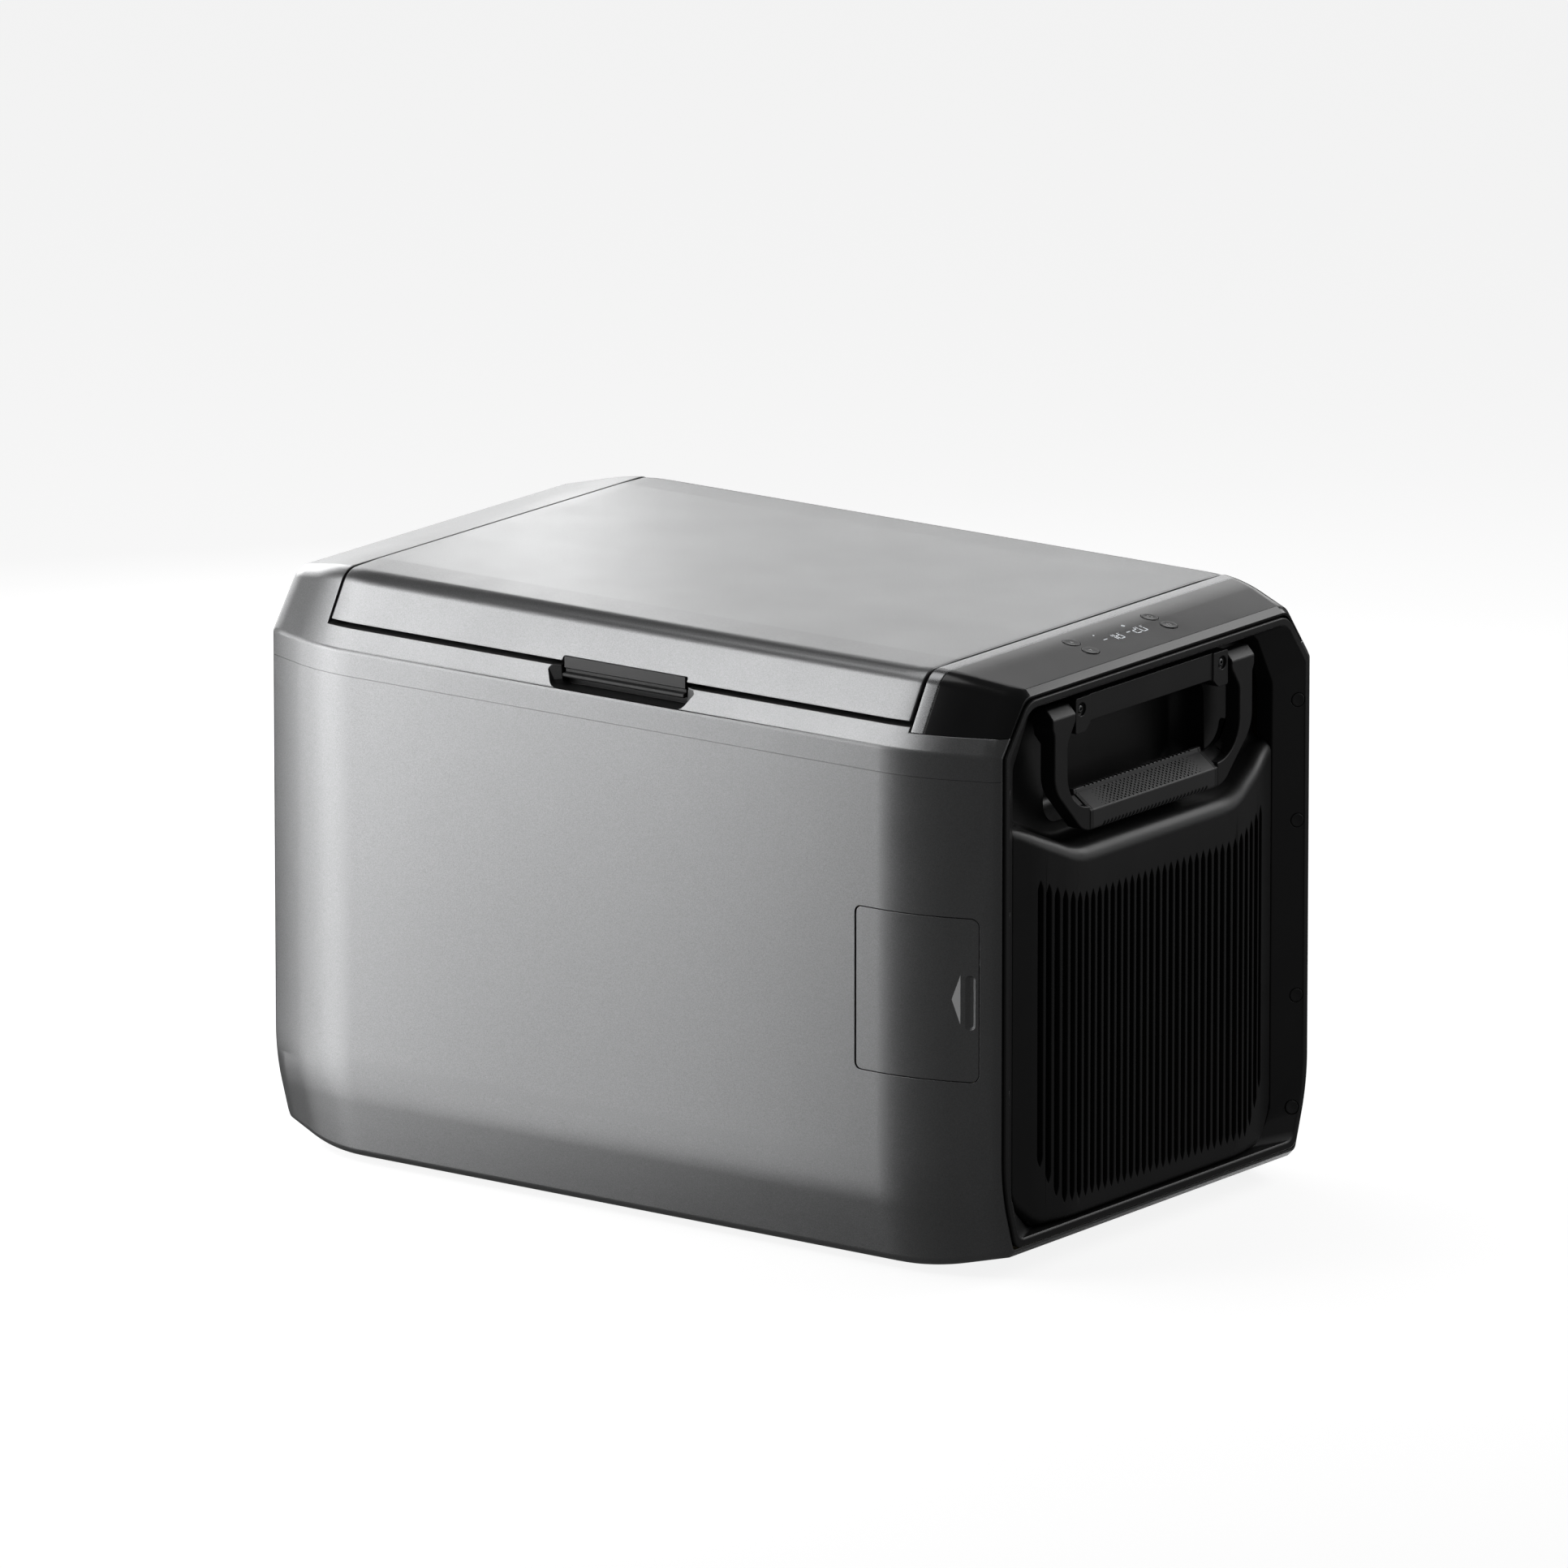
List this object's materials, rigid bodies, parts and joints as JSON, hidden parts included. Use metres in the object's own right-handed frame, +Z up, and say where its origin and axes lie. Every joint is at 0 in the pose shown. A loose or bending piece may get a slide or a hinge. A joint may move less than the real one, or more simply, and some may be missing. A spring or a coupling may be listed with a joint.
{
  "type": "portable compressor cool box",
  "caption": "Portable two-zone compressor cool box with a hinged lid, swing-out end handles, a vented end, a sloping control panel and a plug-in battery behind a door.",
  "frame": {"origin": "on the floor under the middle of the box, level with the soles of the feet", "axes": "+X along the box towards the control and vent end, -Y towards the front with the finger recess and the battery door, +Z up"},
  "size_m": [0.7024, 0.463, 0.4725],
  "materials": {
    "body_paint": "satin metallic grey coat with a fine speckle over moulded plastic",
    "trim_silver": "bright satin",
    "gloss_black": "high gloss",
    "matte_black": "fine moulded texture",
    "grip_rubber": "matte, dotted",
    "foot_rubber": "matte",
    "liner_plastic": "satin food-grade plastic",
    "foam": "rigid polyurethane foam",
    "steel": "brushed",
    "case_black": "semi-matte case",
    "coil_metal": "plain",
    "board": "circuit board",
    "evaporator_metal": "plain sheet",
    "compressor_black": "semi-gloss black enamel"
  },
  "bodies": {
    "body": {"battery_bay": "matte_black", "battery_pack": "case_black", "compressor": "compressor_black", "condenser": "coil_metal", "control_panel": "gloss_black", "deck_trim": "trim_silver", "display_module": "board", "divider": "liner_plastic", "door_pin": "steel", "evaporator": "evaporator_metal", "fan_shroud": "matte_black", "foot_front_left": "foot_rubber", "foot_front_right": "foot_rubber", "foot_rear_left": "foot_rubber", "foot_rear_right": "foot_rubber", "inlet_panel": "matte_black", "insulation": "foam", "left_bracket_screw_front": "steel", "left_bracket_screw_rear": "steel", "left_end_frame": "matte_black", "left_end_panel": "matte_black", "left_handle_bracket": "matte_black", "liner": "liner_plastic", "lower_shell": "body_paint", "power_board": "board", "right_bracket_screw_front": "steel", "right_bracket_screw_rear": "steel", "right_end_frame": "matte_black", "right_handle_bracket": "matte_black", "right_screw_plug_1": "matte_black", "right_screw_plug_2": "matte_black", "right_screw_plug_3": "matte_black", "right_screw_plug_4": "matte_black", "right_screw_plug_5": "matte_black", "right_screw_plug_6": "matte_black", "right_screw_plug_7": "matte_black", "right_screw_plug_8": "matte_black", "rim_hinge_left": "matte_black", "rim_hinge_right": "matte_black", "upper_rim": "body_paint", "vent_panel": "matte_black"},
    "lid": {"lid_cover": "body_paint", "lid_liner": "liner_plastic", "lid_foam": "foam", "lid_gasket": "foot_rubber", "lid_hinge_left": "matte_black", "lid_hinge_right": "matte_black"},
    "latch": {"latch": "matte_black"},
    "right_handle": {"right_handle": "matte_black", "right_grip": "grip_rubber"},
    "left_handle": {"left_handle": "matte_black", "left_grip": "grip_rubber"},
    "battery_door": {"battery_door": "body_paint"},
    "fan_rotor": {"fan_rotor": "matte_black"},
    "button_up": {"button_up": "gloss_black"},
    "button_down": {"button_down": "gloss_black"},
    "button_power": {"button_power": "gloss_black"},
    "button_set": {"button_set": "gloss_black"}
  },
  "joints": [
    {"name": "lid_hinge", "type": "hinge", "parent": "body", "child": "lid", "pos_m": [0, 0.226, 0.434], "axis": [-1, 0, 0], "range_deg": [0, 95]},
    {"name": "latch_pivot", "type": "hinge", "parent": "lid", "child": "latch", "pos_m": [0.004, -0.216, 0.441], "axis": [-1, 0, 0], "range_deg": [0, 25]},
    {"name": "right_handle_swing", "type": "hinge", "parent": "body", "child": "right_handle", "pos_m": [0.3365, 0, 0.43], "axis": [0, -1, 0], "range_deg": [0, 90]},
    {"name": "left_handle_swing", "type": "hinge", "parent": "body", "child": "left_handle", "pos_m": [-0.3365, 0, 0.43], "axis": [0, 1, 0], "range_deg": [0, 90]},
    {"name": "battery_door_hinge", "type": "hinge", "parent": "body", "child": "battery_door", "pos_m": [0.2415, -0.2262, 0.221], "axis": [0, 0, -1], "range_deg": [0, 95]},
    {"name": "fan_spin", "type": "hinge", "parent": "body", "child": "fan_rotor", "pos_m": [0.302, 0.06, 0.19], "axis": [1, 0, 0], "continuous": true},
    {"name": "button_up_press", "type": "slide", "parent": "body", "child": "button_up", "axis": [-0.1908, 0, -0.9816], "range_m": [0, 0.0008], "stiffness_N_per_m": 400},
    {"name": "button_down_press", "type": "slide", "parent": "body", "child": "button_down", "axis": [-0.1908, 0, -0.9816], "range_m": [0, 0.0008], "stiffness_N_per_m": 400},
    {"name": "button_power_press", "type": "slide", "parent": "body", "child": "button_power", "axis": [-0.1908, 0, -0.9816], "range_m": [0, 0.0008], "stiffness_N_per_m": 400},
    {"name": "button_set_press", "type": "slide", "parent": "body", "child": "button_set", "axis": [-0.1908, 0, -0.9816], "range_m": [0, 0.0008], "stiffness_N_per_m": 400}
  ]
}
